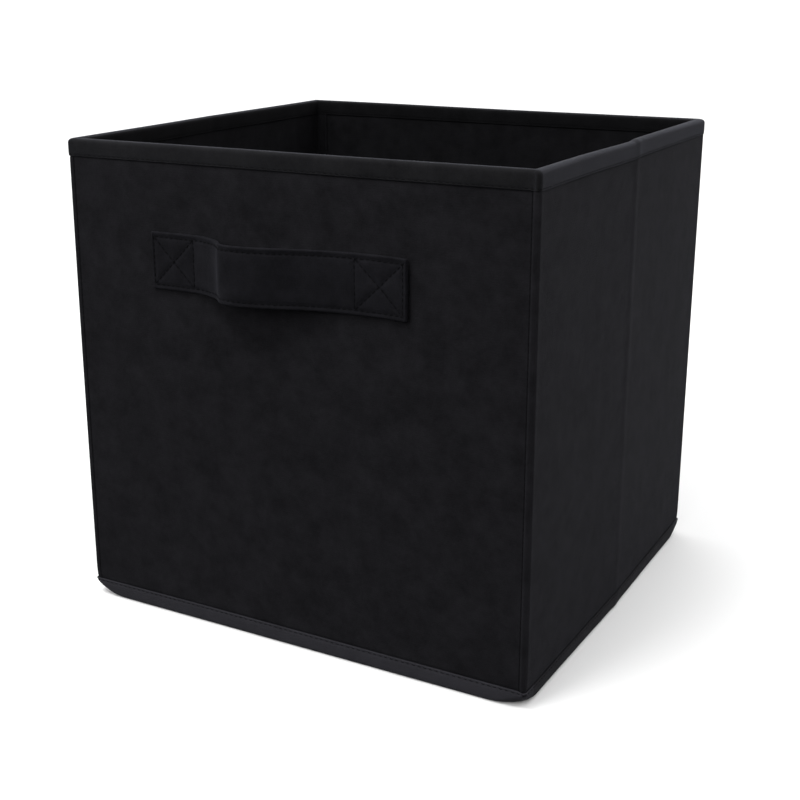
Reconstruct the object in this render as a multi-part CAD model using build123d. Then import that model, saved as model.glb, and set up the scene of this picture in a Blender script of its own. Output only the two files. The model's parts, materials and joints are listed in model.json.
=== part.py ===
from build123d import *
import os

# Collapsible cube storage bin: non-woven fabric sewn over chipboard panels.
# Origin: bottom centre on the floor. +X: right side, -Y: front with the strap handle, +Z: up.

# ---- driving dimensions, mm ----
WIDTH = 267.0  # over the edge binding at the corners
DEPTH = 247.0
HEIGHT = 262.0
CREASE_BULGE = 2.2  # each side springs out this far at its middle crease

BINDING = 0.8  # edge binding tape
OUTER_CLOTH = 0.8
BOARD = 2.0  # chipboard stiffener
LINING = 0.8

RIM_BAND = 9.3  # height of the binding round the rim
FOOT_BAND = 9.5  # height of the binding round the bottom
RIM_CORNER_R = 3.5
FOOT_CORNER_R = 20.0

CORNER_RETURN = 9.9  # the front and back turn this far round the corner before the fold line
JOINT_GAP = 0.3
CREASE_GAP = 0.2  # from the binding out to the crease's turning axis
WALL_START = 5.5  # the stiff part of a wall starts here, above the base flap
BOARD_LOW = 10.0
BOARD_HIGH = 252.0
BOARD_INSET = 3.0  # from a board's upright edge to the seam beside it

SHEET_T = 1.0  # fabric under the base
HEM_LOW = 1.2
HEM_HIGH = 5.3
FLAP_LOW = 1.2
FLAP_BOARD = 2.0
FLAP_COVER = 0.7
FLAP_HALF_WIDTH = 127.0
FLAP_BACK_GAP = 1.5
FLAP_CORNER_R = 14.0
HINGE_STRIP_TOP = 20.0

SEAM_TAPE_W = 8.0
SEAM_TAPE_T = 0.8

STRAP_LEFT = -80.5
STRAP_RIGHT = 70.0
STRAP_LOW = 187.0
STRAP_W = 30.0
STRAP_T = 1.8
# Where the strap stands off the front: (x, distance from the cloth to the strap's inner face).
STRAP_LIFT = [(-49.0, 0.0), (-40.0, 4.6), (-32.0, 11.4), (-21.0, 13.8), (-9.0, 12.4), (2.0, 8.6)]
STRAP_LIFT += [(14.0, 4.4), (27.0, 1.4), (40.0, 0.0)]
STITCH_BOX_LEFT = (-79.0, -53.8)
STITCH_BOX_RIGHT = (41.0, 68.0)
STITCH_MARGIN = 2.5  # from the strap's edges to the stitching
THREAD = 0.6

# ---- worked out ----
CLOTH_FACE = BINDING  # insets from the binding's outer plane
BOARD_FACE = CLOTH_FACE + OUTER_CLOTH
LINING_FACE = BOARD_FACE + BOARD
INNER_FACE = LINING_FACE + LINING
LEG_FACE = INNER_FACE + BINDING
INNER_X = WIDTH / 2 - INNER_FACE
INNER_Y = DEPTH / 2 - INNER_FACE
FOLD_Y = DEPTH / 2 - CORNER_RETURN  # the corner fold lines' distance from the middle
FRONT_CLOTH_Y = CLOTH_FACE - DEPTH / 2
FLAP_BACK_Y = INNER_Y - FLAP_BACK_GAP
FLAP_TOP = FLAP_LOW + FLAP_BOARD + 2 * FLAP_COVER
FAR = 400.0


def outline(inset, radius):
    """Plan outline, inset from the binding's outer plane, with the sides' middle creases."""
    x = WIDTH / 2 - inset
    y = DEPTH / 2 - inset
    crease = x + CREASE_BULGE
    with BuildSketch() as sketch:
        with BuildLine():
            Polyline((x, -y), (crease, 0), (x, y), (-x, y), (-crease, 0), (-x, -y), close=True)
        make_face()
        if radius > 0:
            fillet([v for v in sketch.vertices() if abs(v.Y) > 1], radius)
    return sketch.sketch


def prism(inset, radius, low, high):
    return Pos(0, 0, low) * extrude(outline(inset, radius), high - low)


def layer(outer, inner, low, high, radius=RIM_CORNER_R):
    """A ring of material between two insets, with a corner radius given at the outer plane."""
    outside = prism(outer, max(radius - outer, 0), low, high)
    return outside - prism(inner, max(radius - inner, 0), low - 1, high + 1)


def zone(x, y, z=(-1.0, FAR)):
    """A box between two x, two y and two z values."""
    size = [high - low for low, high in (x, y, z)]
    middle = [(high + low) / 2 for low, high in (x, y, z)]
    return Pos(*middle) * Box(*size)


def rounded_foot(part):
    """Trims a wall piece to the rounded bottom corners inside the foot binding."""
    inside = prism(CLOTH_FACE, FOOT_CORNER_R - CLOTH_FACE, -1, FOOT_BAND)
    return part & (inside + zone((-FAR, FAR), (-FAR, FAR), (FOOT_BAND, FAR)))


def save(name, part):
    export_step(part, f"parts/{name}.step")


def rim_binding(segment, legs):
    """Tape folded over the rim: outer leg, top edge and inner leg."""
    low = HEIGHT - RIM_BAND
    outer_leg = layer(0, CLOTH_FACE, low, HEIGHT) & segment
    top_edge = layer(0, INNER_FACE, HEIGHT - BINDING, HEIGHT) & segment
    inner_leg = layer(INNER_FACE, LEG_FACE, low, HEIGHT) & legs
    return outer_leg + top_edge + inner_leg


def foot_binding(segment):
    """Tape round the bottom edge, with the sewn hem of the wall inside it."""
    tape = layer(0, CLOTH_FACE, 0, FOOT_BAND, FOOT_CORNER_R)
    hem = layer(CLOTH_FACE, INNER_FACE, HEM_LOW, HEM_HIGH, FOOT_CORNER_R)
    return (tape + hem) & segment


def wall_pieces(name, segment, stiff, board, legs):
    """Saves the five pieces that every wall or half wall is sewn from."""
    top = HEIGHT - BINDING
    cloth = layer(CLOTH_FACE, BOARD_FACE, WALL_START, top) & stiff
    lining = layer(LINING_FACE, INNER_FACE, WALL_START, top) & stiff
    save(f"{name}_outer_fabric", rounded_foot(cloth))
    save(f"{name}_lining", rounded_foot(lining))
    save(f"{name}_board", layer(BOARD_FACE, LINING_FACE, BOARD_LOW, BOARD_HIGH) & board)
    save(f"{name}_top_binding", rim_binding(segment, legs))
    save(f"{name}_bottom_binding", foot_binding(segment))


def end_wall(name, sign):
    """The front or back: full width, with both corner seams, on the side given by sign."""

    def along_y(near, far):
        return tuple(sorted((sign * near, sign * far)))

    beyond_fold = along_y(FOLD_Y, FAR)
    board_x = INNER_X - BOARD_INSET
    wall_pieces(
        name,
        segment=zone((-FAR, FAR), beyond_fold),
        stiff=zone((-INNER_X, INNER_X), along_y(FOLD_Y, FAR)),
        board=zone((-board_x, board_x), along_y(FOLD_Y, FAR)),
        legs=zone((-INNER_X + BINDING, INNER_X - BINDING), along_y(INNER_Y - BINDING - 0.1, FAR)),
    )
    seam = layer(CLOTH_FACE, INNER_FACE, WALL_START, HEIGHT - BINDING)
    for side, x in (("right", (INNER_X, FAR)), ("left", (-FAR, -INNER_X))):
        save(f"{name}_{side}_corner_seam", rounded_foot(seam & zone(x, beyond_fold)))
        edge = 1 if side == "right" else -1
        tape_x = tuple(sorted((edge * INNER_X, edge * (INNER_X - SEAM_TAPE_W))))
        tape_y = along_y(INNER_Y - SEAM_TAPE_T, INNER_Y)
        save(f"{name}_{side}_seam_tape", zone(tape_x, tape_y, (BOARD_LOW, HEIGHT - RIM_BAND - 1)))


def side_half(name, x_sign, y_sign):
    """Half of a side wall, between its corner fold line and the middle crease."""

    def between(near, far):
        return tuple(sorted((y_sign * near, y_sign * far)))

    x = (0, FAR) if x_sign > 0 else (-FAR, 0)
    whole = between(JOINT_GAP, FOLD_Y - JOINT_GAP)
    wall_pieces(
        name,
        segment=zone(x, whole),
        stiff=zone(x, whole),
        board=zone(x, between(BOARD_INSET, FOLD_Y - BOARD_INSET)),
        legs=zone(x, between(2 * BINDING, FOLD_Y - 2 * BINDING)),
    )


def base_flap():
    """Stiffened base, sewn to the back wall by a hinge strip, that lifts to let the bin fold."""

    def plate(low, thickness, inset):
        x = FLAP_HALF_WIDTH - inset
        y = FLAP_BACK_Y - inset
        face = RectangleRounded(2 * x, 2 * y, FLAP_CORNER_R - inset)
        return Pos(0, 0, low) * extrude(face, thickness)

    middle = FLAP_LOW + FLAP_COVER
    save("base_underside_cover", plate(FLAP_LOW, FLAP_COVER, 0))
    save("base_board", plate(middle, FLAP_BOARD, BOARD_INSET))
    rim = plate(middle, FLAP_BOARD, 0) - plate(middle - 1, FLAP_BOARD + 2, BOARD_INSET)
    save("base_top_cover", plate(middle + FLAP_BOARD, FLAP_COVER, 0) + rim)
    strip_x = (-FLAP_HALF_WIDTH + FLAP_CORNER_R, FLAP_HALF_WIDTH - FLAP_CORNER_R)
    strip_y = (INNER_Y - SEAM_TAPE_T, INNER_Y)
    save("base_hinge_strip", zone(strip_x, strip_y, (WALL_START, HINGE_STRIP_TOP)))
    save("bottom_sheet", prism(1.0, FOOT_CORNER_R - 1.0, 0, SHEET_T))


def handle():
    """Strap sewn flat at both ends, standing off the front between them, and its box stitches."""

    def run(shift):
        lifted = [(x, FRONT_CLOTH_Y - lift - shift) for x, lift in STRAP_LIFT]
        left = (STRAP_LEFT, FRONT_CLOTH_Y - shift)
        right = (STRAP_RIGHT, FRONT_CLOTH_Y - shift)
        return left, lifted, right

    with BuildSketch() as section:
        with BuildLine():
            left, inner, right = run(0)
            outer_left, outer, outer_right = run(STRAP_T)
            flat = [(1, 0), (1, 0)]
            Line(left, inner[0])
            Spline(*inner, tangents=flat)
            Line(inner[-1], right)
            Line(right, outer_right)
            Line(outer_right, outer[-1])
            Spline(*outer, tangents=flat)
            Line(outer[0], outer_left)
            Line(outer_left, left)
        make_face()
    save("handle_strap", Pos(0, 0, STRAP_LOW) * extrude(section.sketch, STRAP_W))

    low = STRAP_LOW + STITCH_MARGIN
    high = STRAP_LOW + STRAP_W - STITCH_MARGIN
    threads = []
    for x0, x1 in (STITCH_BOX_LEFT, STITCH_BOX_RIGHT):
        with BuildSketch(Plane.XZ.offset(-FRONT_CLOTH_Y + STRAP_T)) as stitch:
            with BuildLine():
                box = Polyline((x0, low), (x1, low), (x1, high), (x0, high), close=True)
            make_face()
            offset(box, THREAD, mode=Mode.ADD)
            offset(box, -THREAD / 2, mode=Mode.SUBTRACT)
            for start, end in (((x0, low), (x1, high)), ((x0, high), (x1, low))):
                with BuildLine() as diagonal:
                    Line(start, end)
                trace(diagonal.line, line_width=THREAD)
        threads.append(extrude(stitch.sketch, THREAD / 2))
    save("handle_stitching", Compound(children=threads))


os.makedirs("parts", exist_ok=True)
end_wall("back", 1)
end_wall("front", -1)
side_half("right_rear", 1, 1)
side_half("right_front", 1, -1)
side_half("left_rear", -1, 1)
side_half("left_front", -1, -1)
base_flap()
handle()
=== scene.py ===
"""Collapsible cube storage bin: black non-woven cloth over boards, with a bound rim and foot."""

import json
import math

import bpy
import numpy as np
from mathutils import Matrix, Vector, noise


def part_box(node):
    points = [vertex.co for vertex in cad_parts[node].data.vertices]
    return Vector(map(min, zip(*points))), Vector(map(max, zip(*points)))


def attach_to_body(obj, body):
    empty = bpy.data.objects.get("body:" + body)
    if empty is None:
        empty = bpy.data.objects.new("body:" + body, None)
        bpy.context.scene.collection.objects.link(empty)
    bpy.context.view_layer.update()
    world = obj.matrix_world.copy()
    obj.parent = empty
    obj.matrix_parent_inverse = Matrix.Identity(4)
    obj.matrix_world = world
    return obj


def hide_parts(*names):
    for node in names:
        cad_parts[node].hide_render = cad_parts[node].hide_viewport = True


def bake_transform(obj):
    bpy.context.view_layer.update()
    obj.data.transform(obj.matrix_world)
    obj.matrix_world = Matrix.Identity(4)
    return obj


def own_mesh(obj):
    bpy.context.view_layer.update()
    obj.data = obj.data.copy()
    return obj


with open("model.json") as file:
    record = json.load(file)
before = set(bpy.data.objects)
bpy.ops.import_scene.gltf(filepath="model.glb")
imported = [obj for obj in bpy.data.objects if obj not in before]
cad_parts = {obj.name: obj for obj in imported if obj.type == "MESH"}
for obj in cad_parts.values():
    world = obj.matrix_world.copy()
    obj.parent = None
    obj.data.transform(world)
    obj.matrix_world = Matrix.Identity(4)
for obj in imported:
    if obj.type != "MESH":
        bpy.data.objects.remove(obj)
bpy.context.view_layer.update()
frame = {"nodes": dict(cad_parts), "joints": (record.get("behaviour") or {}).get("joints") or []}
MM = 0.001

# ---- the bin's own sizes, from the frame ----
RIM_LOW, RIM_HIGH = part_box("front_top_binding")
LINING_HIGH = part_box("front_lining")[1]
FLAP_LOW, FLAP_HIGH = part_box("base_top_cover")
STRAP_LOW, STRAP_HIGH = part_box("handle_strap")
CLOTH_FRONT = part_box("front_outer_fabric")[0].y
HALF_D = -RIM_LOW.y
TOP = RIM_HIGH.z
WALL = LINING_HIGH.y + HALF_D  # from the binding's outside to the lining's inside
HALF_W = LINING_HIGH.x + WALL
CREASE_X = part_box("right_rear_top_binding")[1].x
RIM_BAND = TOP - RIM_LOW.z
FOOT_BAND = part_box("front_bottom_binding")[1].z
FOLD_Y = next(j["pos_m"][1] for j in frame["joints"] if j["name"] == "right_rear_fold")

# ---- the sewing ----
CLOTH = 0.6 * MM  # thickness of one layer
TAPE = 0.8 * MM
CLOTH_FACE = HALF_D + CLOTH_FRONT  # insets from the binding's outside
FOLD_HALF = 3.2 * MM  # half the width of cloth that bends at a fold line
RIM_RADIUS = 1.2 * MM
FOOT_RADIUS = 22.0 * MM
INNER_RADIUS = 0.6 * MM
CREASE_RADIUS = 60.0 * MM
STITCH_PITCH = 3.2 * MM
STITCH_LENGTH = 2.5 * MM
THREAD = 0.17 * MM
SEAM_FROM_CORNER = 2.4 * MM
SEAM_HALF = 0.5 * MM
CREASE_BEHIND = 3.0 * MM
CREASE_WIDTH = 3.4 * MM
CLOTH_TOP = TOP - 2.8 * MM  # the cloth and the lining end inside the rim tape


# ================= the wall line in plan =================
# Six edges, anticlockwise from the front left corner: the front, two right halves, the back, and
# two left halves. A station is an edge's number plus a share of that edge.
PLAN_CORNERS = ((-1, -1), (1, -1), (1, 0), (1, 1), (-1, 1), (-1, 0))
EDGES = len(PLAN_CORNERS)
FRONT, RIGHT_CREASE, BACK, LEFT_CREASE = 0, 2, 3, 5
EDGE_LENGTHS = np.array([2 * HALF_W, HALF_D, HALF_D, 2 * HALF_W, HALF_D, HALF_D])


def edge_and_share(stations):
    """The edge that each station is on, and how far along that edge it is, from 0 to 1."""
    u = np.mod(np.asarray(stations, float), EDGES)
    edge = np.minimum(u.astype(int), EDGES - 1)
    return edge, u - edge


def on_front_or_back(stations):
    return np.isin(edge_and_share(stations)[0], (FRONT, BACK))


def plan(stations, inset, radius):
    """Points and outward directions along the wall line."""
    corner = np.array([(sx * ((HALF_W if sy else CREASE_X) - inset), sy * (HALF_D - inset))
                       for sx, sy in PLAN_CORNERS])
    run = np.roll(corner, -1, axis=0) - corner
    length = np.linalg.norm(run, axis=1)
    along = run / length[:, None]
    out = np.stack([along[:, 1], -along[:, 0]], axis=1)
    edge, share = edge_and_share(stations)
    points = corner[edge] + run[edge] * share[:, None]
    normals = out[edge].copy()
    for k, (_, sy) in enumerate(PLAN_CORNERS):
        before = (k - 1) % EDGES
        turn = math.acos(float(np.clip(along[before] @ along[k], -1, 1)))
        r = max(radius, INNER_RADIUS) if sy else CREASE_RADIUS
        reach = r * math.tan(turn / 2)
        past = np.where(edge == k, share * length[k], np.inf)
        past = np.where(edge == before, -(1 - share) * length[before], past)
        near = np.abs(past) < reach
        angle = (past[near] + reach) / (2 * reach) * turn
        centre = corner[k] - reach * along[before] - r * out[before]
        c, s = np.cos(angle), np.sin(angle)
        ox, oy = out[before]
        around = np.stack([ox * c - oy * s, ox * s + oy * c], axis=1)
        points[near] = centre + r * around
        normals[near] = around
    return points, normals


def side_station(side, y):
    """The station on the right (side 1) or left (side -1) wall at y."""
    share = y / HALF_D
    return RIGHT_CREASE + share if side > 0 else LEFT_CREASE - share


def corner_distance(u):
    """Distance in metres from each station to the nearest of the four corners, along the wall."""
    edge, share = edge_and_share(u)
    from_crease = np.isin(edge, (RIGHT_CREASE, LEFT_CREASE))
    to_crease = np.isin(edge, (RIGHT_CREASE - 1, LEFT_CREASE - 1))
    from_start = np.where(from_crease, np.inf, share * EDGE_LENGTHS[edge])
    from_end = np.where(to_crease, np.inf, (1 - share) * EDGE_LENGTHS[edge])
    return np.minimum(from_start, from_end)


def crease_distance(u):
    """Distance in metres from each station to the nearer middle crease."""
    u = np.mod(np.asarray(u, float), EDGES)
    return np.minimum(np.abs(u - RIGHT_CREASE), np.abs(u - LEFT_CREASE)) * HALF_D


def stations_between(start, end, coarse, fine, reach):
    """Stations from start to end, coarse apart on the flats and fine near corners and creases."""
    if end < start:
        end += EDGES
    found, u = [start], start
    while True:
        from_corner = corner_distance([u])[0]
        here = min(from_corner, crease_distance([u])[0])
        step = fine if here < reach else min(coarse, max(fine, here - reach + fine))
        if abs(from_corner - SEAM_FROM_CORNER) < 1.2 * MM:  # the groove of a corner seam
            step = min(step, 0.25 * MM)
        unit = EDGE_LENGTHS[int(u % EDGES)]
        following = u + step / unit
        whole = math.floor(u + 1e-9) + 1
        if u < whole - 1e-9 < following:
            following = whole
        if following >= end - 0.3 * fine / unit:
            break
        found.append(following)
        u = following
    found.append(end)
    return np.array(found)


# ================= meshes =================
def finish_mesh(name, verts, faces, uvs, material, sharp=42):
    """A smooth-shaded object. uvs holds one pair for each corner of each face, in metres."""
    mesh = bpy.data.meshes.new(name)
    mesh.from_pydata([tuple(v) for v in verts], [], faces)
    if uvs is not None:
        layer = mesh.uv_layers.new(name="cloth")
        layer.data.foreach_set("uv", np.asarray(uvs, np.float32).ravel())
    mesh.shade_smooth()
    mesh.set_sharp_from_angle(angle=math.radians(sharp))
    mesh.materials.append(material)
    obj = bpy.data.objects.new(name, mesh)
    bpy.context.scene.collection.objects.link(obj)
    return obj


def loft(name, rings, material, sharp=42):
    """A closed solid through rings of points, each ring closed, with flat ends."""
    rings = np.asarray(rings, float)
    count, around = rings.shape[:2]
    verts = rings.reshape(-1, 3)
    lengthwise = np.linalg.norm(np.diff(rings, axis=0), axis=2).mean(axis=1)
    s = np.concatenate([[0], np.cumsum(lengthwise)])
    closed = np.concatenate([rings, rings[:, :1]], axis=1)
    across = np.linalg.norm(np.diff(closed, axis=1), axis=2).mean(axis=0)
    t = np.concatenate([[0], np.cumsum(across)])
    faces, uvs = [], []
    for i in range(count - 1):
        low, high = i * around, (i + 1) * around
        for k in range(around):
            n = (k + 1) % around
            faces.append((low + k, low + n, high + n, high + k))
            uvs += [(s[i], t[k]), (s[i], t[k + 1]), (s[i + 1], t[k + 1]), (s[i + 1], t[k])]
    for i, order in ((0, range(around - 1, -1, -1)), (count - 1, range(around))):
        faces.append(tuple(i * around + k for k in order))
        uvs += [(s[i], t[k]) for k in order]
    return finish_mesh(name, verts, faces, uvs, material, sharp)


def sweep(name, stations, section, material, shift=None, lift=None):
    """A closed section of (inset, z) or (inset, z, corner radius at inset 0), carried along the
    wall line. shift moves it outward and lift moves it up, each from (stations, inset, z)."""
    rings = np.zeros((len(stations), len(section), 3))
    for k, point in enumerate(section):
        inset, z = point[:2]
        r = point[2] if len(point) > 2 else RIM_RADIUS
        points, normals = plan(stations, inset, r - inset)
        out = shift(stations, inset, z) if shift else 0
        up = lift(stations, inset, z) if lift else 0
        rings[:, k, :2] = points + normals * np.reshape(out, (-1, 1))
        rings[:, k, 2] = z + up
    return loft(name, rings, material)


def stitch_mesh(name, rows):
    """Threads on a surface. A row is (points, tangents, normals), with a stitch at each point."""
    half = ((-0.5, 0.15, -1.2), (-0.36, 0.9, 0.25), (-0.1, 1.0, 0.7))  # along, thickness, height
    shape = half + tuple((-along, size, high) for along, size, high in half[::-1])
    sides = 6
    verts, faces = [], []
    for points, tangents, normals in rows:
        for p, t, n in zip(points, tangents, normals):
            p, t, n = (np.asarray(a, float) for a in (p, t, n))
            side = np.cross(n, t)
            base = len(verts)
            for along, size, high in shape:
                centre = p + t * along * STITCH_LENGTH + n * high * THREAD
                for k in range(sides):
                    a = 2 * math.pi * k / sides
                    ring = side * math.cos(a) + n * math.sin(a)
                    verts.append(centre + ring * size * THREAD)
            for i in range(len(shape) - 1):
                for k in range(sides):
                    q = (k + 1) % sides
                    low, high = base + i * sides, base + (i + 1) * sides
                    faces.append((low + k, low + q, high + q, high + k))
            faces.append(tuple(base + k for k in range(sides - 1, -1, -1)))
            last = base + (len(shape) - 1) * sides
            faces.append(tuple(last + k for k in range(sides)))
    return finish_mesh(name, verts, faces, None, THREAD_BLACK, 60)


def unevenness(stations, inset, z, scale, seed):
    """Smooth noise from -1 to 1 along the wall line, with features about 1/scale metres across."""
    points, _ = plan(stations, inset, RIM_RADIUS)
    places = (Vector((x * scale + seed, y * scale, z * scale)) for x, y in points)
    return np.array([noise.noise(place) for place in places])


def clamp(value):
    return min(max(value, 0), 1)


# ================= materials =================
def nodes_of(name):
    material = bpy.data.materials.new(name)
    material.use_nodes = True
    tree = material.node_tree
    return material, tree, tree.nodes["Principled BSDF"]


def texture(tree, kind, vector, **values):
    node = tree.nodes.new(kind)
    for key, value in values.items():
        node.inputs[key.replace("_", " ")].default_value = value
    tree.links.new(vector, node.inputs["Vector"])
    return node


def vary(tree, source, shader, colour, darkest, lightest, at=(0.3, 0.7)):
    """Colours the shader between darkest and lightest times the given colour, as source varies."""
    node = tree.nodes.new("ShaderNodeValToRGB")
    for element, place, share in zip(node.color_ramp.elements, at, (darkest, lightest)):
        element.position = place
        element.color = (*(min(c * share, 1) for c in colour), 1)
    tree.links.new(source, node.inputs["Fac"])
    tree.links.new(node.outputs["Color"], shader.inputs["Base Color"])


def maths(tree, operation, a, b):
    node = tree.nodes.new("ShaderNodeMath")
    node.operation = operation
    for socket, value in zip(node.inputs, (a, b)):
        if isinstance(value, (int, float)):
            socket.default_value = value
        else:
            tree.links.new(value, socket)
    return node.outputs[0]


def bump(tree, height, strength, distance, normal=None):
    node = tree.nodes.new("ShaderNodeBump")
    node.inputs["Strength"].default_value = strength
    node.inputs["Distance"].default_value = distance
    tree.links.new(height, node.inputs["Height"])
    if normal is not None:
        tree.links.new(normal, node.inputs["Normal"])
    return node.outputs["Normal"]


def non_woven(name, colour, sheen, spread=0.42, tint=(0.8, 0.82, 1.0)):
    """Felted fibre cloth: mottled, fibrous and faintly embossed with small dots."""
    material, tree, shader = nodes_of(name)
    at = tree.nodes.new("ShaderNodeTexCoord").outputs["Object"]
    mottle = texture(tree, "ShaderNodeTexNoise", at, Scale=85.0, Detail=7.0, Roughness=0.7)
    fibre = texture(tree, "ShaderNodeTexNoise", at, Scale=1500.0, Detail=3.0, Roughness=0.7,
                    Distortion=1.2)
    dots = texture(tree, "ShaderNodeTexVoronoi", at, Scale=820.0, Randomness=0.35)
    mixed = maths(tree, "ADD", maths(tree, "MULTIPLY", mottle.outputs["Fac"], 0.65),
                  maths(tree, "MULTIPLY", fibre.outputs["Fac"], 0.35))
    vary(tree, mixed, shader, colour, 1 - spread, 1 + spread, (0.36, 0.64))
    rough = maths(tree, "ADD", maths(tree, "MULTIPLY", fibre.outputs["Fac"], 0.18), 0.74)
    tree.links.new(rough, shader.inputs["Roughness"])
    fine = bump(tree, fibre.outputs["Fac"], 0.55, 0.00035)
    embossed = bump(tree, dots.outputs["Distance"], 0.25, 0.00025, fine)
    tree.links.new(embossed, shader.inputs["Normal"])
    shader.inputs["Specular IOR Level"].default_value = 0.03
    shader.inputs["Sheen Weight"].default_value = sheen
    shader.inputs["Sheen Roughness"].default_value = 0.45
    shader.inputs["Sheen Tint"].default_value = (*tint, 1)
    return material


def woven(name, colour, sheen, pitch=0.55 * MM, spread=0.25):
    """Narrow woven tape: crossing ribs that follow the tape."""
    material, tree, shader = nodes_of(name)
    uv = tree.nodes.new("ShaderNodeUVMap")
    uv.uv_map = "cloth"
    at = tree.nodes.new("ShaderNodeTexCoord").outputs["Object"]
    split = tree.nodes.new("ShaderNodeSeparateXYZ")
    tree.links.new(uv.outputs["UV"], split.inputs[0])
    turns = 2 * math.pi / pitch
    warp = maths(tree, "SINE", maths(tree, "MULTIPLY", split.outputs["X"], turns), 0)
    weft = maths(tree, "SINE", maths(tree, "MULTIPLY", split.outputs["Y"], turns), 0)
    crossed = maths(tree, "MULTIPLY", warp, weft)
    weave = maths(tree, "ADD", maths(tree, "MULTIPLY", crossed, 0.5), 0.5)
    fibre = texture(tree, "ShaderNodeTexNoise", at, Scale=1300.0, Detail=3.0, Roughness=0.7)
    mottle = texture(tree, "ShaderNodeTexNoise", at, Scale=90.0, Detail=4.0, Roughness=0.6)
    mixed = maths(tree, "ADD", maths(tree, "MULTIPLY", weave, 0.3),
                  maths(tree, "ADD", maths(tree, "MULTIPLY", fibre.outputs["Fac"], 0.3),
                        maths(tree, "MULTIPLY", mottle.outputs["Fac"], 0.4)))
    vary(tree, mixed, shader, colour, 1 - spread, 1 + spread)
    rough = maths(tree, "ADD", maths(tree, "MULTIPLY", weave, 0.15), 0.66)
    tree.links.new(rough, shader.inputs["Roughness"])
    ribs = bump(tree, weave, 0.6, 0.0002)
    tree.links.new(bump(tree, fibre.outputs["Fac"], 0.4, 0.0002, ribs), shader.inputs["Normal"])
    shader.inputs["Specular IOR Level"].default_value = 0.03
    shader.inputs["Sheen Weight"].default_value = sheen
    shader.inputs["Sheen Roughness"].default_value = 0.4
    shader.inputs["Sheen Tint"].default_value = (0.85, 0.87, 1.0, 1)
    return material


def spun(name, colour):
    """Sewing thread."""
    material, tree, shader = nodes_of(name)
    at = tree.nodes.new("ShaderNodeTexCoord").outputs["Object"]
    twist = texture(tree, "ShaderNodeTexNoise", at, Scale=4200.0, Detail=2.0)
    vary(tree, twist.outputs["Fac"], shader, colour, 0.6, 1.5)
    tree.links.new(bump(tree, twist.outputs["Fac"], 0.5, 0.0001), shader.inputs["Normal"])
    shader.inputs["Roughness"].default_value = 0.8
    shader.inputs["Specular IOR Level"].default_value = 0.03
    return material


def pressed_board(name, colour):
    """Grey-brown chipboard with flecks."""
    material, tree, shader = nodes_of(name)
    at = tree.nodes.new("ShaderNodeTexCoord").outputs["Object"]
    flecks = texture(tree, "ShaderNodeTexNoise", at, Scale=420.0, Detail=8.0, Roughness=0.75)
    vary(tree, flecks.outputs["Fac"], shader, colour, 0.6, 1.35, (0.35, 0.65))
    tree.links.new(bump(tree, flecks.outputs["Fac"], 0.3, 0.0003), shader.inputs["Normal"])
    shader.inputs["Roughness"].default_value = 0.9
    return material


def plain_floor(name):
    material, _, shader = nodes_of(name)
    shader.inputs["Base Color"].default_value = (0.93, 0.93, 0.93, 1)
    shader.inputs["Roughness"].default_value = 0.9
    shader.inputs["Specular IOR Level"].default_value = 0.0
    return material


OUTER = non_woven("outer_cloth", (0.0094, 0.0092, 0.0106), sheen=0.02)
# Painted shade: a darker copy of the outer cloth for the grooves of the corner seams.
SEAM_PAINTED_SHADE = non_woven("seam_painted_shade_cloth", (0.0042, 0.0041, 0.0048), sheen=0.01)
# The lining's colour is set darker than the outer cloth's as painted shade for the inside of the
# bin; the seam tapes, base cover and hinge strip share it.
LINING_PAINTED_SHADE = non_woven("lining_cloth", (0.0044, 0.0044, 0.0050), sheen=0.008)
RIM_TAPE = non_woven("rim_tape", (0.0080, 0.0080, 0.0085), sheen=0.10)
# Painted shade: a darker copy of the rim tape for its faces inside the bin.
RIM_TAPE_PAINTED_SHADE = non_woven("rim_tape_inside_painted_shade", (0.0034, 0.0034, 0.0038), sheen=0.006)
FOOT_TAPE = woven("foot_tape", (0.0290, 0.0285, 0.0335), sheen=0.01)
# Painted shade: a darker copy of the foot tape for the side walls, which lie in more shade.
FOOT_TAPE_PAINTED_SHADE = woven("foot_tape_side_painted_shade", (0.0135, 0.0132, 0.0152), sheen=0.01)
STRAP = non_woven("strap_cloth", (0.0074, 0.0073, 0.0088), sheen=0.02)
THREAD_BLACK = spun("black_thread", (0.0030, 0.0030, 0.0034))
BOARD = pressed_board("pressed_board", (0.33, 0.27, 0.19))


# ================= camera, light and floor =================
CAMERA_AT = Vector((0.3520, -0.6568, 0.3435))
CAMERA_ANGLES = (30.164, 15.884, -0.474)  # degrees: azimuth from the front, elevation and roll
CAMERA_LENS = 59.80
CAMERA_SHIFT = (0.0531, -0.0589)
FLOOR_HALF = 60.0


def direction(azimuth, elevation):
    """Away from the bin. The azimuth, in radians, is counted from its front towards its right."""
    level = math.cos(elevation)
    return Vector((math.sin(azimuth) * level, -math.cos(azimuth) * level, math.sin(elevation)))


def make_camera():
    """Stands where it sees the front and, less, the right side, a little above the rim."""
    azimuth, elevation, roll = (math.radians(a) for a in CAMERA_ANGLES)
    back = direction(azimuth, elevation)
    level = Vector((math.cos(azimuth), math.sin(azimuth), 0))
    upright = back.cross(level)
    right = level * math.cos(roll) + upright * math.sin(roll)
    up = upright * math.cos(roll) - level * math.sin(roll)
    data = bpy.data.cameras.new("camera")
    data.sensor_width = 36
    data.lens = CAMERA_LENS
    data.shift_x, data.shift_y = CAMERA_SHIFT
    camera = bpy.data.objects.new("camera", data)
    camera.matrix_world = Matrix([*zip(right, up, back, CAMERA_AT), (0, 0, 0, 1)])
    bpy.context.scene.collection.objects.link(camera)
    bpy.context.scene.camera = camera


def area_light(name, at, towards, size, power):
    data = bpy.data.lights.new(name, "AREA")
    data.shape = "RECTANGLE"
    data.size, data.size_y = size
    data.energy = power
    light = bpy.data.objects.new(name, data)
    light.location = at
    light.rotation_euler = (Vector(towards) - Vector(at)).to_track_quat("-Z", "Y").to_euler()
    bpy.context.scene.collection.objects.link(light)


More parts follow.
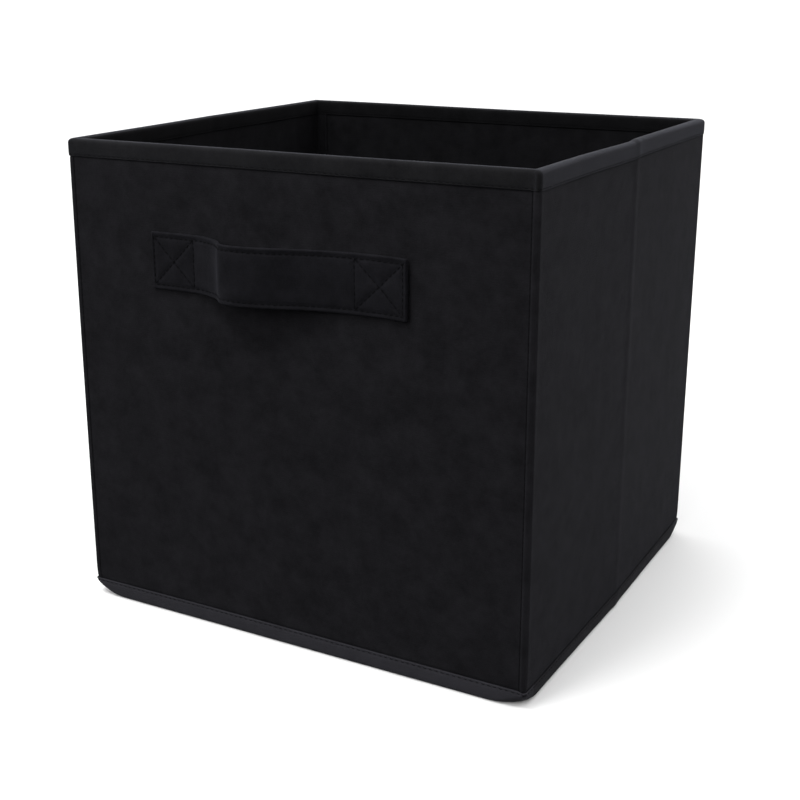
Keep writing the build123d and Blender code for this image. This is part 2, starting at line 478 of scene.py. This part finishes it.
def far_light(name, azimuth, elevation, spread, strength):
    """A broad distant light, with its angles in degrees."""
    data = bpy.data.lights.new(name, "SUN")
    data.angle = math.radians(spread)
    data.energy = strength
    away = direction(math.radians(azimuth), math.radians(elevation))
    light = bpy.data.objects.new(name, data)
    light.rotation_euler = away.to_track_quat("Z", "Y").to_euler()
    bpy.context.scene.collection.objects.link(light)


def make_studio():
    """A white room: the lamps light the bin, and the white all round shows only in its gloss."""
    world = bpy.data.worlds.new("studio")
    bpy.context.scene.world = world
    world.use_nodes = True
    background = world.node_tree.nodes["Background"]
    background.inputs["Color"].default_value = (1, 1, 1, 1)
    background.inputs["Strength"].default_value = 1.05
    world.cycles_visibility.diffuse = False
    far_light("dome", 0, 90, 150, 3.6)
    far_light("front_fill", -14, 28, 35, 0.8)
    far_light("back_fill", 205, 25, 50, 0.35)
    area_light("near_key", (-0.17, -0.55, 1.1), (0, -0.05, 0.2), (0.4, 0.4), 6.0)
    area_light("near_side", (0.62, 0.42, 0.62), (0.1, 0, 0.2), (0.35, 0.35), 0.9)
    corners = [(x * FLOOR_HALF, y * FLOOR_HALF, 0) for x, y in ((-1, -1), (1, -1), (1, 1), (-1, 1))]
    floor = finish_mesh("floor", corners, [(0, 1, 2, 3)], None, plain_floor("floor"))
    floor.visible_diffuse = False
    scene = bpy.context.scene
    scene.view_settings.view_transform = "Standard"
    scene.view_settings.look = "None"


# ================= what rides on what =================
RIGHT_FRONT = side_station(1, -FOLD_Y)  # the stations of the four corner fold lines
RIGHT_REAR = side_station(1, FOLD_Y)
LEFT_REAR = side_station(-1, FOLD_Y)
LEFT_FRONT = side_station(-1, -FOLD_Y)
# name, what it rides on, first and last station; a pair of bodies marks the cloth at a fold between
# them.
SEGMENTS = (
    ("front", "front_wall", LEFT_FRONT, side_station(1, -FOLD_Y - FOLD_HALF)),
    ("right_front_fold", ("front_wall", "right_front_panel"),
     side_station(1, -FOLD_Y - FOLD_HALF), side_station(1, -FOLD_Y + FOLD_HALF)),
    ("right_front", "right_front_panel",
     side_station(1, -FOLD_Y + FOLD_HALF), side_station(1, -FOLD_HALF)),
    ("right_crease", ("right_front_panel", "right_rear_panel"),
     side_station(1, -FOLD_HALF), side_station(1, FOLD_HALF)),
    ("right_rear", "right_rear_panel",
     side_station(1, FOLD_HALF), side_station(1, FOLD_Y - FOLD_HALF)),
    ("right_rear_fold", ("right_rear_panel", "back_wall"),
     side_station(1, FOLD_Y - FOLD_HALF), side_station(1, FOLD_Y + FOLD_HALF)),
    ("back", "back_wall",
     side_station(1, FOLD_Y + FOLD_HALF), side_station(-1, FOLD_Y + FOLD_HALF)),
    ("left_rear_fold", ("back_wall", "left_rear_panel"),
     side_station(-1, FOLD_Y + FOLD_HALF), side_station(-1, FOLD_Y - FOLD_HALF)),
    ("left_rear", "left_rear_panel",
     side_station(-1, FOLD_Y - FOLD_HALF), side_station(-1, FOLD_HALF)),
    ("left_crease", ("left_rear_panel", "left_front_panel"),
     side_station(-1, FOLD_HALF), side_station(-1, -FOLD_HALF)),
    ("left_front", "left_front_panel", side_station(-1, -FOLD_HALF), LEFT_FRONT),
)
FOOT_RUNS = {
    "front": (LEFT_FRONT, RIGHT_FRONT),
    "right_front": (RIGHT_FRONT, side_station(1, 0)),
    "right_rear": (side_station(1, 0), RIGHT_REAR),
    "back": (RIGHT_REAR, LEFT_REAR),
    "left_rear": (LEFT_REAR, side_station(-1, 0)),
    "left_front": (side_station(-1, 0), LEFT_FRONT),
}
WALLS = ("front", "right_front", "right_rear", "back", "left_rear", "left_front")


def attach(obj, segment):
    """Rides on the segment's body; cloth between two bodies is fixed in place."""
    _, bodies, start, end = segment
    if isinstance(bodies, str):
        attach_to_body(obj, bodies)
        return
    ends, _ = plan([start, end], CLOTH_FACE, RIM_RADIUS)
    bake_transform(obj)


# ================= shapes of the sewn walls =================
def crease_ridge(stations, height):
    """A soft ridge of the given height along each side's middle crease, a little behind it."""
    u = np.mod(stations, EDGES)
    behind = np.where(u < BACK + 0.5, u - RIGHT_CREASE, LEFT_CREASE - u) * HALF_D
    return height * np.exp(-(((behind - CREASE_BEHIND) / CREASE_WIDTH) ** 2))


def corner_swell(stations, z):
    """In mm: the bin isn't quite square, and stands out at some corners, most near the top."""
    u = np.mod(stations, EDGES)
    from_left = np.where(u < 3, u * 2 * HALF_W, (EDGES - u) * HALF_D)
    from_rear = np.where(u < 3, (3 - u) * HALF_D, (u - 3) * 2 * HALF_W)
    up = clamp(z / TOP)
    past_right = np.where(u < 1, (1 - u) * 2 * HALF_W / (2 * MM), (u - 1) * HALF_D / (60 * MM))
    left = 1.1 * np.exp(-((from_left / (50 * MM)) ** 2)) * (0.7 + 0.3 * math.sin(math.pi * up))
    right = 1.4 * np.exp(-(past_right**2))
    rear = (0.3 + 1.5 * up) * np.exp(-((from_rear / (70 * MM)) ** 2))
    return left + right + rear


def outer_relief(stations, inset, z):
    """How far the outer cloth stands off flat: seams drawn in, a raised crease, slow unevenness."""
    near_corner = corner_distance(stations)
    seam = -0.12 * np.clip(1 - np.abs(near_corner - SEAM_FROM_CORNER) / (0.9 * MM), 0, 1)
    seam = np.where(on_front_or_back(stations), seam, 0)
    ridge = crease_ridge(stations, 0.16 + 0.2 * clamp(z / TOP))
    slow = 0.16 * unevenness(stations, inset, z, 22, 3.1)
    slow = slow * np.clip((near_corner - 6 * MM) / (20 * MM), 0, 1)
    under_tape = -0.22 * math.exp(-(((z - (TOP - RIM_BAND - 0.25 * MM)) / (0.5 * MM)) ** 2))
    over_foot = -0.42 * math.exp(-(((z - (FOOT_BAND + 0.15 * MM)) / (0.6 * MM)) ** 2))
    above = clamp((z - FOOT_BAND) / (5 * MM))
    flush = 0.2 * np.exp(-((near_corner / (3 * MM)) ** 2)) * above
    swell = corner_swell(stations, z) * (0.75 + 0.25 * above)
    return (seam + ridge + slow + under_tape + over_foot + flush + swell) * MM


def lining_relief(stations, inset, z):
    """The lining is flat at the corners and slowly uneven between them."""
    slow = 0.14 * unevenness(stations, inset, z, 20, 8.4)
    fade = np.clip((corner_distance(stations) - 12 * MM) / (25 * MM), 0, 1)
    return slow * fade * MM


PANEL_STEP = 4.2 * MM


def panel_section(outside, inside, low):
    """A flat layer as a closed section up to the rim, with finer levels beside the two tapes."""
    levels = np.linspace(low, CLOTH_TOP, round((CLOTH_TOP - low) / PANEL_STEP) + 1)
    edge = TOP - RIM_BAND - np.array([1.6, 1.0, 0.6, 0.3, 0.1, -0.2]) * MM
    below, above = levels < edge[0] - 1 * MM, levels > edge[-1] + 1 * MM
    levels = np.concatenate([levels[below], edge, levels[above]])
    if low > FOOT_BAND - 2 * MM:
        foot = FOOT_BAND + np.array([-0.5, -0.2, 0.1, 0.4, 0.7, 1.0, 1.4, 1.9]) * MM
        levels = np.concatenate([[low], foot, levels[levels > foot[-1] + 1 * MM]])
    return [(outside, z) for z in levels] + [(inside, z) for z in levels[::-1]]


def rim_section():
    """Tape folded over the wall's top edge: rounded outside, and hollow where the wall fills it."""
    width, low = WALL + TAPE, TOP - RIM_BAND
    round_r = 2.4 * MM
    raw_edge = ((0.75, 0), (0.28, 0.05), (0.03, 0.35))  # across and up, in mm
    rise = (0.6, 0.85, 1.1, 1.4, 1.8, 3.0, 4.6)
    out = [(across * MM, low + h * MM) for across, h in raw_edge]
    out += [(0.0, low + h * MM) for h in rise]
    for k in range(10):
        a = math.pi * k / 9
        across = round_r * (1 - math.cos(a)) if k < 5 else width - round_r * (1 + math.cos(a))
        out.append((across, TOP - round_r + round_r * math.sin(a)))
    out += [(width, low + h * MM) for h in rise[::-1]]
    out += [(width - across * MM, low + h * MM) for across, h in raw_edge[::-1]]
    inner_low, inner_high = low + 0.4 * MM, TOP - 2.6 * MM
    inner = [(WALL, inner_low), (WALL, inner_high), (TAPE, inner_high), (TAPE, inner_low)]
    return out + inner


def stitch_phase(stations):
    """Where each station falls in the run of stitches, from 0 to 1 within a stitch."""
    starts = np.concatenate([[0], np.cumsum(EDGE_LENGTHS)])
    edge, share = edge_and_share(stations)
    return np.mod((starts[edge] + share * EDGE_LENGTHS[edge]) / STITCH_PITCH, 1)


STATION_STEP = 0.001  # how finely a row looks for where each stitch starts
RIM_STITCH_Z = TOP - RIM_BAND + 0.95 * MM
FOOT_STITCH_Z = FOOT_BAND - 1.1 * MM


def rim_relief(stations, inset, z):
    """The tape is pulled in along its stitches, most in the middle of each, and a little uneven."""
    pull = math.exp(-(((z - RIM_STITCH_Z) / (0.5 * MM)) ** 2))
    pucker = 0.2 + 0.08 * np.cos(2 * math.pi * (stitch_phase(stations) - 0.5))
    slow = 0.22 * unevenness(stations, inset, z, 45, 5.7)
    ridge = crease_ridge(stations, 0.3)
    inward = -1 if inset > WALL / 2 else 1
    body = 1 if z < TOP - 0.2 * MM else 0.3
    outer_share = 1 - inset / (WALL + TAPE)
    swell = 0.8 * outer_share * corner_swell(stations, z) * MM
    return (inward * (-pull * pucker + 0.3 * slow * body) + ridge) * MM + swell


def rim_lift(stations, inset, z):
    """The rim isn't level: slow waves, a dip before the right crease, and lower at the back."""
    slow = 0.25 * unevenness(stations, 0, 0, 9, 1.3)
    u = np.mod(stations, EDGES)
    ahead = np.clip((2.02 - u) / 0.035, 0, 1) * np.clip((u - 1.45) / 0.45, 0, 1)
    dip = -0.6 * ahead
    rear = -1.1 * np.clip(np.where(u < 3, (u - 2.1) / 0.9, (4 - u) / 1.0), 0, 1)
    share = 1 if z > TOP - RIM_BAND / 2 else 0.75
    return (slow + dip + rear) * share * MM


def foot_section():
    """Tape round the bottom edge, with plan corners that round off towards the floor."""

    def corner(z):
        share = clamp((FOOT_BAND - z) / FOOT_BAND)
        return RIM_RADIUS + (FOOT_RADIUS - RIM_RADIUS) * share**1.7

    drop = ((0.7, 0), (0.25, 0.05), (0.03, 0.35)) + tuple(
        (0.0, h) for h in (0.8, 1.3, 1.9, 3.0, 4.4, 5.8))  # across and down, in mm
    outside = [(across * MM, FOOT_BAND - h * MM) for across, h in drop]
    turn_r = 2.2 * MM
    for k in range(6):
        a = math.pi / 2 * k / 5
        outside.append((turn_r * (1 - math.cos(a)), turn_r * (1 - math.sin(a))))
    under = [(5.0 * MM, 0.0), (9.0 * MM, 0.0), (9.3 * MM, 0.35 * MM)]
    leg = 0.45 * MM
    inside = [(9.0 * MM, leg), (4.0 * MM, leg), (2.2 * MM, 1.0 * MM), (1.4 * MM, 2.0 * MM)]
    inside += [(TAPE, 3.4 * MM), (TAPE, FOOT_BAND - 0.6 * MM)]
    return [(i, z, corner(z)) for i, z in outside + under + inside]


def foot_relief(stations, inset, z):
    """The foot tape is pulled in along its stitches, raised at the creases, tucked on the right."""
    pull = math.exp(-(((z - FOOT_STITCH_Z) / (0.7 * MM)) ** 2))
    pucker = 0.26 + 0.1 * np.cos(2 * math.pi * (stitch_phase(stations) - 0.5))
    slow = 0.25 * unevenness(stations, inset, z, 60, 9.2)
    ridge = crease_ridge(stations, 0.35)
    side = 1 if z > 0.5 * MM else 0
    up = clamp(z / FOOT_BAND)
    u = np.mod(stations, EDGES)
    tuck = -1.1 * (1 - up) * np.sqrt(np.clip(np.sin(math.pi * (u - 1) / 2), 0, 1)) * (u < 3)
    swell = 0.8 * up * corner_swell(stations, z)
    return ((-pull * pucker + 0.4 * slow + ridge) * side + tuck + swell) * MM


def wall_stitches(start, end, z, inset, outward, relief, lift=None):
    """One row of stitches along the wall line between two stations."""
    if end < start:
        end += EDGES
    dense = np.arange(start, end, STATION_STEP)
    phase = stitch_phase(dense)
    starts = np.nonzero((phase[1:] >= 0.5) & (phase[:-1] < 0.5))[0] + 1
    u = dense[starts]
    if not len(u):
        return None
    points, normals = plan(u, inset, RIM_RADIUS - inset)
    tangents = np.stack([-normals[:, 1], normals[:, 0], np.zeros(len(u))], axis=1)
    out = relief(u, inset, z)
    up = lift(u, inset, z) if lift else np.zeros(len(u))
    places = np.column_stack([points + normals * np.reshape(out, (-1, 1)), z + up])
    facing = np.column_stack([normals, np.zeros(len(u))]) * outward
    return places, tangents, facing


# ================= the pieces =================
def sew(name, rows, body):
    """Stitches that ride on one body."""
    threads = stitch_mesh(name, rows)
    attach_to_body(threads, body)
    return threads


def run_length(start, end):
    """The distance along the wall line between two stations."""
    points, _ = plan(np.linspace(start, end + (EDGES if end < start else 0), 200), 0, RIM_RADIUS)
    return float(np.linalg.norm(np.diff(points, axis=0), axis=1).sum())


def declare_walls():
    """Each wall's cloths were cut larger than they show. This only measures each wall's run along
    the wall line; the lengths are not used.
    """
    for name, _, start, end in SEGMENTS:
        if name not in WALLS:
            continue
        run = run_length(start, end)


def paint_seam_shade(obj, stations, around):
    """Painted shade: the cloth in each corner seam's groove takes a darker copy of the cloth, for
    the shade in the groove.
    """
    middles = (stations[1:] + stations[:-1]) / 2
    near_seam = np.abs(corner_distance(middles) - SEAM_FROM_CORNER) < SEAM_HALF
    in_seam = near_seam & on_front_or_back(middles)
    obj.data.materials.append(SEAM_PAINTED_SHADE)
    for polygon in obj.data.polygons[: len(middles) * around]:
        polygon.material_index = int(in_seam[polygon.index // around])


def make_walls():
    """Outer cloth, lining, rim tape and their stitches, segment by segment."""
    cloth = panel_section(CLOTH_FACE, CLOTH_FACE + CLOTH, FOOT_BAND - 1.0 * MM)
    lining = panel_section(WALL - CLOTH, WALL, FOOT_BAND - 3.4 * MM)
    rim = rim_section()
    for segment in SEGMENTS:
        name, _, start, end = segment
        coarse = stations_between(start, end, 4.0 * MM, 0.55 * MM, 8 * MM)
        fine = stations_between(start, end, 0.8 * MM, 0.4 * MM, 5 * MM)
        outer_cloth = sweep(f"{name}_outer_cloth", coarse, cloth, OUTER, outer_relief)
        lining_cloth = sweep(f"{name}_lining_cloth", coarse, lining, LINING_PAINTED_SHADE, lining_relief)
        rim_tape = sweep(f"{name}_rim_tape", fine, rim, RIM_TAPE, rim_relief, rim_lift)
        made = (
            ("outer_cloth", outer_cloth, "outer_fabric", "outer_fabric"),
            ("lining_cloth", lining_cloth, "lining_fabric", "lining"),
            ("rim_tape", rim_tape, "binding_tape", "top_binding"),
        )
        # painted shade in the grooves of the front's and back's corner seams
        if name in ("front", "back"):
            paint_seam_shade(outer_cloth, coarse, len(cloth))
        # Painted shade: the rim tape's faces inside the bin take its darker copy.
        tape = rim_tape.data
        tape.materials.append(RIM_TAPE_PAINTED_SHADE)
        inner = [k for k, (inset, z) in enumerate(rim) if inset > 3.0 * MM and z < TOP - 0.4 * MM]
        for polygon in tape.polygons[: (len(fine) - 1) * len(rim)]:
            polygon.material_index = 1 if polygon.index % len(rim) in inner else 0
        for kind, obj, slot, node in made:
            attach(obj, segment)
            if name in WALLS:
                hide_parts(f"{name}_{node}")
            if name in ("front", "back") and slot == "outer_fabric":
                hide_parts(*(f"{name}_{side}_corner_seam" for side in ("left", "right")))
        rows = [
            wall_stitches(start, end, RIM_STITCH_Z, 0.0, 1, rim_relief, rim_lift),
            wall_stitches(start, end, RIM_STITCH_Z, WALL + TAPE, -1, rim_relief, rim_lift),
        ]
        rows = [row for row in rows if row]
        if rows:
            threads = stitch_mesh(f"{name}_rim_stitches", rows)
            attach(threads, segment)
    declare_walls()


def make_foot():
    """The bottom tape and its stitches, a run on each wall; all but the back's have a mesh of their
    own.
    """
    section = foot_section()
    bodies = {name: body for name, body, _, _ in SEGMENTS}
    for name, (first, last) in FOOT_RUNS.items():
        stations = stations_between(first, last, 0.8 * MM, 0.4 * MM, 5 * MM)
        # Painted shade: the side runs take the foot tape's darker copy.
        material = FOOT_TAPE if name in ("front", "back") else FOOT_TAPE_PAINTED_SHADE
        tape = sweep(f"{name}_foot_tape", stations, section, material, foot_relief)
        rows = [wall_stitches(first, last, FOOT_STITCH_Z, 0.0, 1, foot_relief)]
        threads = stitch_mesh(f"{name}_foot_stitches", rows)
        for obj, slot in ((tape, "binding_tape"), (threads, "thread")):
            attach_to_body(obj, bodies[name])
            if name != "back":
                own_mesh(obj)
        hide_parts(f"{name}_bottom_binding")
        run_length(first, last)


def seam_tapes():
    """The strips that cover the corner seams inside, each with a rolled free edge."""
    low, high = FOOT_BAND, TOP - RIM_BAND + 0.6 * MM
    levels = np.linspace(low, high, 60)
    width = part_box("front_left_seam_tape")[1].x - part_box("front_left_seam_tape")[0].x
    bead = 0.75 * MM
    for name, body, y_sign in (("front", "front_wall", -1), ("back", "back_wall", 1)):
        for side, x_sign in (("left", -1), ("right", 1)):
            section = [(0.0, -0.3 * MM), (0.0, 0.55 * MM), (1.2 * MM, 0.5 * MM)]
            section += [(3.0 * MM, 0.42 * MM), (5.0 * MM, 0.42 * MM), (width - 2.6 * MM, 0.5 * MM)]
            for k in range(7):
                a = math.pi * (1.0 - k / 6)
                section.append((width - bead + bead * math.cos(a), 0.35 * MM + bead * math.sin(a)))
            section.append((width, -0.3 * MM))
            rings = []
            for z in levels:
                sway = 0.25 * MM * noise.noise(Vector((z * 30, 4.0 * x_sign, 7.0 * y_sign)))
                rings.append(
                    [(x_sign * (HALF_W - WALL - across - sway * across / width),
                      y_sign * (HALF_D - WALL - high_off), z) for across, high_off in section]
                )
            rings = np.array(rings)
            if x_sign * y_sign > 0:
                rings = rings[:, ::-1]
            tape = loft(f"{name}_{side}_seam_tape_cloth", rings, LINING_PAINTED_SHADE)
            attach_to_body(tape, body)
            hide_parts(f"{name}_{side}_seam_tape")
            zs = np.arange(low + 2 * MM, high - 2 * MM, STITCH_PITCH)
            x = x_sign * (HALF_W - WALL - width + 2.2 * MM)
            y = y_sign * (HALF_D - WALL - 0.45 * MM)
            places = np.column_stack([np.full(len(zs), x), np.full(len(zs), y), zs])
            up = np.tile((0.0, 0.0, 1.0), (len(zs), 1))
            facing = np.tile((0.0, -1.0 * y_sign, 0.0), (len(zs), 1))
            sew(f"{name}_{side}_seam_tape_stitches", [(places, up, facing)], body)


def corner_stitches():
    """The upright seams beside each corner, on the front and the back."""
    zs = np.arange(FOOT_BAND + 1.5 * MM, TOP - RIM_BAND - 0.5 * MM, STITCH_PITCH)
    share = SEAM_FROM_CORNER / (2 * HALF_W)
    for name, body, first in (("front", "front_wall", FRONT), ("back", "back_wall", BACK)):
        rows = []
        for station in (first + share, first + 1 - share):
            points, normals = plan([station], CLOTH_FACE, RIM_RADIUS)
            out = [outer_relief([station], CLOTH_FACE, z)[0] - 0.05 * MM for z in zs]
            places = np.array([(*(points[0] + normals[0] * d), z) for d, z in zip(out, zs)])
            up = np.tile((0.0, 0.0, 1.0), (len(zs), 1))
            rows.append((places, up, np.tile((*normals[0], 0.0), (len(zs), 1))))
        sew(f"{name}_corner_stitches", rows, body)


# ================= handle =================
STRAP_THICK = 1.8 * MM
STRAP_AT = (-51, -47, -43, -39, -36, -33.5, -31.5, -30, -28.5, -26, -22, -17, -10, 0, 7, 16, 25,
            33, 42, 58, 72)  # in mm across the front
STRAP_OFF = (0, 0.8, 2.1, 3.8, 5.4, 7.2, 9.2, 11.2, 12.4, 13.2, 13.7, 13.6, 12.6, 9.9, 7.3, 4.3,
             2.0, 0.7, 0, 0.1, 1.9)  # in mm off the cloth
STITCH_IN = 2.4 * MM  # from the strap's long edges to the stitching
BOXES = ((STRAP_LOW.x + 1.6 * MM, -53.8 * MM), (40.9 * MM, STRAP_HIGH.x - 2.0 * MM))


def strap_lift(x):
    """How far the strap's inner face stands off the cloth at x, with its bends rounded."""
    near = x / MM + np.linspace(-0.9, 0.9, 9)
    return float(np.interp(near, STRAP_AT, STRAP_OFF).mean()) * MM


def strap_frame(x):
    """The strap's inner face at x in plan: its point, its direction and its outward normal."""
    step = 0.3 * MM
    slope = (strap_lift(x + step) - strap_lift(x - step)) / (2 * step)
    along = Vector((1, -slope, 0)).normalized()
    return Vector((x, CLOTH_FRONT - strap_lift(x), 0)), along, Vector((along.y, -along.x, 0))


def stitch_lines():
    """The strap's stitching, as (x, z) ends of lines: its edges, and a crossed box at each end."""
    low, high = STRAP_LOW.z + STITCH_IN, STRAP_HIGH.z - STITCH_IN
    lines = [((BOXES[0][0], z), (BOXES[1][1], z)) for z in (low, high)]
    for x0, x1 in BOXES:
        lines += [((x0, low), (x0, high)), ((x1, low), (x1, high))]
        lines += [((x0, low), (x1, high)), ((x0, high), (x1, low))]
    return lines


def line_distance(x, z, line):
    """How far a point on the strap is from one line of stitching."""
    (x0, z0), (x1, z1) = line
    dx, dz = x1 - x0, z1 - z0
    t = clamp(((x - x0) * dx + (z - z0) * dz) / (dx * dx + dz * dz))
    return math.hypot(x - x0 - t * dx, z - z0 - t * dz)


def make_handle():
    """The strap, its edges rounded and its face drawn in along every line of stitching."""
    lines = stitch_lines()
    middle = (STRAP_LOW.z + STRAP_HIGH.z) / 2
    half = (STRAP_HIGH.z - STRAP_LOW.z) / 2
    edge_r = 0.8 * MM
    across = np.linspace(-half + edge_r, half - edge_r, 44)
    xs = np.concatenate([
        np.linspace(STRAP_LOW.x, STRAP_LOW.x + 1.2 * MM, 5)[:-1],
        np.arange(STRAP_LOW.x + 1.2 * MM, STRAP_HIGH.x - 1.2 * MM, 0.8 * MM),
        np.linspace(STRAP_HIGH.x - 1.2 * MM, STRAP_HIGH.x, 5),
    ])
    rings = []
    for x in xs:
        point, _, out = strap_frame(x)
        from_end = min(x - STRAP_LOW.x, STRAP_HIGH.x - x)
        end = math.sqrt(max(0.0, 1 - max(0.0, 1 - from_end / (0.9 * MM)) ** 2)) * 0.55 + 0.45
        sway = 0.35 * MM * noise.noise(Vector((x * 28, 2.0, 0.4)))
        ring = []
        for w in across:
            nearest = min(line_distance(x, middle + w, line) for line in lines)
            dent = math.exp(-((nearest / (0.7 * MM)) ** 2))
            dent += 0.8 * math.exp(-((nearest / (2.4 * MM)) ** 2))
            soft = 0.16 * noise.noise(Vector((x * 90, w * 90, 1.7)))
            height = STRAP_THICK * end + (0.15 - 0.36 * dent + soft) * MM
            ring.append((height, w + sway))
        for k in range(1, 5):
            a = math.pi / 2 * k / 5
            high = STRAP_THICK * end - edge_r * (1 - math.cos(a))
            ring.append((high, half - edge_r * (1 - math.sin(a)) + sway))
        ring.append((0.35 * MM, half + sway))
        ring += [(0.03 * MM, w + sway) for w in across[::-4]]
        ring.append((0.35 * MM, -half + sway))
        for k in range(4, 0, -1):
            a = math.pi / 2 * k / 5
            high = STRAP_THICK * end - edge_r * (1 - math.cos(a))
            ring.append((high, -half + edge_r * (1 - math.sin(a)) + sway))
        rings.append([point + out * h + Vector((0, 0, middle + w)) for h, w in ring])
    strap = loft("handle_strap_cloth", np.array(rings)[:, ::-1], STRAP)
    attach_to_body(strap, "front_wall")
    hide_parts("handle_strap")


def sew_handle():
    """A stitch every pitch along each line on the strap, following its bow."""
    rows = []
    for (x0, z0), (x1, z1) in stitch_lines():
        places, along, facing = [], [], []
        travelled, last = 0.0, None
        count = max(2, round(math.hypot(x1 - x0, z1 - z0) / (0.1 * MM)))
        wanted = STITCH_PITCH / 2
        for k in range(count + 1):
            x, z = x0 + (x1 - x0) * k / count, z0 + (z1 - z0) * k / count
            point, _, out = strap_frame(x)
            here = point + out * (STRAP_THICK - 0.28 * MM) + Vector((0, 0, z))
            if last is not None:
                travelled += (here - last).length
                if travelled >= wanted and wanted < 1:
                    places.append(here)
                    along.append((here - last).normalized())
                    facing.append(out)
                    wanted += STITCH_PITCH
            last = here
        rows.append((places, along, facing))
    threads = sew("handle_strap_stitches", rows, "front_wall")
    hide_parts("handle_stitching")


# ================= base =================
PLATE_STEP = 3.5 * MM


def plate(name, half_x, half_y, low, high, corner_r, edge_r, material, relief=0.0):
    """A flat closed cloth piece with rounded corners and edge, drawn as a grid above and below."""

    def ticks(half):
        fine = [half - d * MM for d in (0, 0.25, 0.6, 1.1, 1.8, 2.8)]
        inner = np.arange(0, half - 3.2 * MM, PLATE_STEP)
        positive = np.concatenate([inner, fine[::-1]])
        return np.concatenate([-positive[:0:-1], positive])

    xs, ys = ticks(half_x), ticks(half_y)
    nx, ny = len(xs), len(ys)
    verts, index = [], {}
    for side in (1, -1):
        for i, x in enumerate(xs):
            for j, y in enumerate(ys):
                border = i in (0, nx - 1) or j in (0, ny - 1)
                if border and side < 0:
                    index[side, i, j] = index[1, i, j]
                    continue
                dx, dy = abs(x) - (half_x - corner_r), abs(y) - (half_y - corner_r)
                px, py = x, y
                if dx > 0 and dy > 0:
                    pull = max(dx, dy) / math.hypot(dx, dy)
                    px = math.copysign(half_x - corner_r + dx * pull, x)
                    py = math.copysign(half_y - corner_r + dy * pull, y)
                inward = min(half_x - abs(x), half_y - abs(y))
                t = min(inward / edge_r, 1)
                swell = math.sqrt(max(0.0, 1 - (1 - t) ** 2))
                centre, half = (low + high) / 2, (high - low) / 2
                z = centre + side * half * swell
                if side > 0 and relief:
                    z += relief * noise.noise(Vector((x * 25, y * 25, 2.2))) * t
                index[side, i, j] = len(verts)
                verts.append((px, py, z))
    faces = []
    for side in (1, -1):
        for i in range(nx - 1):
            for j in range(ny - 1):
                around = ((i, j), (i + 1, j), (i + 1, j + 1), (i, j + 1))
                quad = [index[side, a, b] for a, b in around]
                faces.append(quad if side > 0 else quad[::-1])
    uvs = [(verts[v][0], verts[v][1]) for face in faces for v in face]
    return finish_mesh(name, verts, faces, uvs, material)


def make_base_cover():
    """The base flap's cover, sewn round its edge."""
    half_x, half_y = FLAP_HIGH.x, (FLAP_HIGH.y - FLAP_LOW.y) / 2
    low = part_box("base_underside_cover")[0].z
    corner_r = 14 * MM
    cover = plate("base_cover_cloth", half_x, half_y, low, FLAP_HIGH.z, corner_r, 1.7 * MM,
                  LINING_PAINTED_SHADE, 0.25 * MM)
    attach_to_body(cover, "base_flap")
    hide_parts("base_top_cover", "base_underside_cover")
    inset, rows = 5.0 * MM, []
    for axis, sign in ((0, 1), (0, -1), (1, 1), (1, -1)):
        reach = (half_y if axis == 0 else half_x) - corner_r
        t = np.arange(-reach, reach, STITCH_PITCH)
        fixed = np.full(len(t), sign * ((half_x if axis == 0 else half_y) - inset))
        x, y = (fixed, t) if axis == 0 else (t, fixed)
        places = np.column_stack([x, y, np.full(len(t), FLAP_HIGH.z - 0.02 * MM)])
        tangent = (0.0, 1.0, 0.0) if axis == 0 else (1.0, 0.0, 0.0)
        up = np.tile((0.0, 0.0, 1.0), (len(t), 1))
        rows.append((places, np.tile(tangent, (len(t), 1)), up))
    sew("base_cover_stitches", rows, "base_flap")
    return cover


def make_hinge_strip(cover):
    """The strip that joins the base flap to the back wall."""
    strip_low, strip_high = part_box("base_hinge_strip")
    wall_y = HALF_D - WALL
    face = wall_y - 0.1 * MM
    bend_r, thick = 2.3 * MM, 0.45 * MM
    path = [(face, z) for z in np.linspace(strip_high.z, FLAP_HIGH.z + 2.4 * MM, 7)]
    for k in range(1, 8):
        a = math.pi / 2 * k / 8
        y = face - bend_r * (1 - math.cos(a))
        path.append((y, FLAP_HIGH.z + 0.25 * MM + bend_r * (1 - math.sin(a))))
    path += [(y, FLAP_HIGH.z + 0.2 * MM) for y in np.linspace(face - 2.5 * MM, face - 14 * MM, 8)]
    ring = list(path)
    for y, z in path[::-1]:
        inward = thick if z > FLAP_HIGH.z + 0.3 * MM else 0
        upward = thick if z < FLAP_HIGH.z + 2.4 * MM else 0
        ring.append((y - inward, z + upward))
    xs = np.linspace(strip_low.x, strip_high.x, 60)
    rings = np.array([[(x, y, z) for y, z in ring] for x in xs])
    strip = loft("base_hinge_cloth", rings[:, ::-1], LINING_PAINTED_SHADE)
    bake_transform(strip)
    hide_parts("base_hinge_strip")


def make_bottom_sheet():
    """The sheet that the bin stands on, riding on the back wall."""
    half_x, half_y = HALF_W - 1.5 * MM, HALF_D - 1.5 * MM
    sheet = plate("bottom_sheet_cloth", half_x, half_y, 0.5 * MM, 1.0 * MM, 20 * MM, 0.3 * MM,
                  OUTER)
    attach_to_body(sheet, "back_wall")
    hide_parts("bottom_sheet")
    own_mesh(sheet)


make_camera()
make_studio()
make_walls()
make_foot()
seam_tapes()
corner_stitches()
make_handle()
sew_handle()
make_hinge_strip(make_base_cover())
make_bottom_sheet()

for node_name, node in frame["nodes"].items():
    if node_name.endswith("_board"):
        node.data.materials.clear()
        node.data.materials.append(BOARD)
    elif not node.hide_render:
        node.data.materials.clear()
        node.data.materials.append(OUTER)
